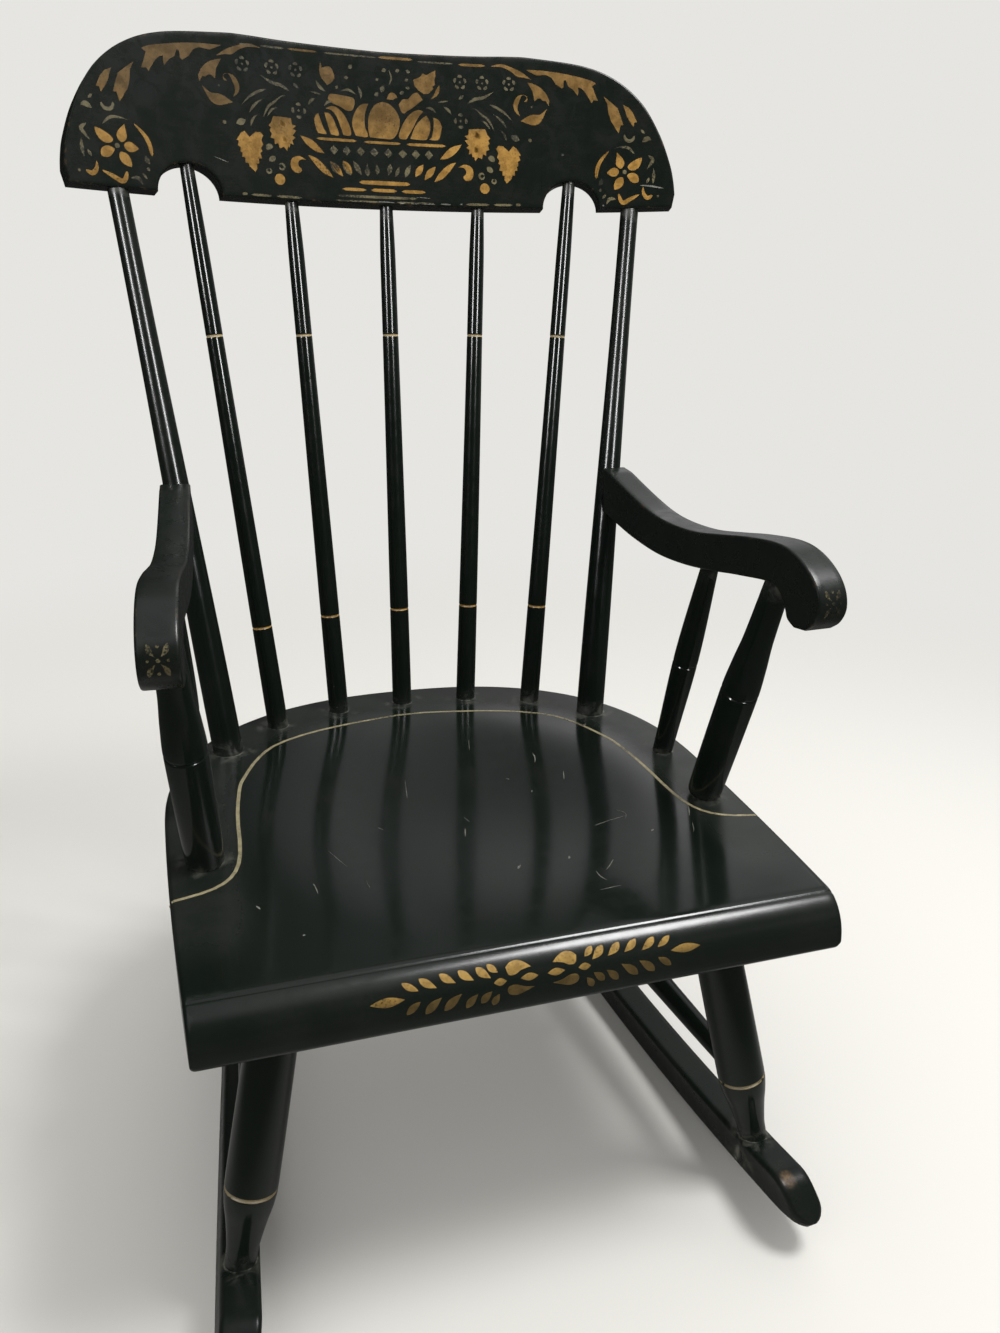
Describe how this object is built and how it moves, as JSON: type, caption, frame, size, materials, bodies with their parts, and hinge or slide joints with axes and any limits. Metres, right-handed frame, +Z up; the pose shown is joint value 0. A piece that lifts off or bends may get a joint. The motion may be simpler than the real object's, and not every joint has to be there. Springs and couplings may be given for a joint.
{
  "type": "boston rocking chair",
  "caption": "Child's plank-seat rocking chair with a spindle back, bent crest rail, scrolled arms, splayed turned legs and curved rockers.",
  "frame": {"origin": "centre of the bounding box, on the floor under the rockers", "axes": "+Z up, the chair faces -Y, +X to the sitter's left"},
  "size_m": [0.423, 0.5592, 0.7054],
  "materials": {
    "seat_lacquer": "aged black lacquer on pine, glossy and finely scratched, with a cream pinstripe and a gold stencil",
    "board_lacquer": "aged black lacquer on maple, satin, with gold stencilling and worn edges",
    "turning_lacquer": "aged black lacquer on turned maple, satin gloss, with painted gold rings",
    "rocker_lacquer": "aged black lacquer on maple, satin, worn to bare wood at the tips",
    "hardwood": "end grain of a hardwood pin or plug, lacquered over",
    "screw_steel": "dull steel"
  },
  "bodies": {
    "root": {"seat": "seat_lacquer", "crest_rail": "board_lacquer", "arm_left": "board_lacquer", "arm_right": "board_lacquer", "back_post_left": "turning_lacquer", "back_post_right": "turning_lacquer", "back_spindle_1": "turning_lacquer", "back_spindle_2": "turning_lacquer", "back_spindle_3": "turning_lacquer", "back_spindle_4": "turning_lacquer", "back_spindle_5": "turning_lacquer", "arm_post_left": "turning_lacquer", "arm_post_right": "turning_lacquer", "arm_spindle_left": "turning_lacquer", "arm_spindle_right": "turning_lacquer", "front_leg_left": "turning_lacquer", "front_leg_right": "turning_lacquer", "rear_leg_left": "turning_lacquer", "rear_leg_right": "turning_lacquer", "side_stretcher_left": "turning_lacquer", "side_stretcher_right": "turning_lacquer", "cross_stretcher": "turning_lacquer", "rocker_left": "rocker_lacquer", "rocker_right": "rocker_lacquer", "arm_plug_left": "hardwood", "arm_plug_right": "hardwood", "crest_pin_left": "hardwood", "crest_pin_right": "hardwood", "rocker_pin_front_left": "hardwood", "rocker_pin_front_right": "hardwood", "rocker_pin_rear_left": "hardwood", "rocker_pin_rear_right": "hardwood", "arm_screw_left": "screw_steel", "arm_screw_right": "screw_steel"}
  },
  "joints": []
}
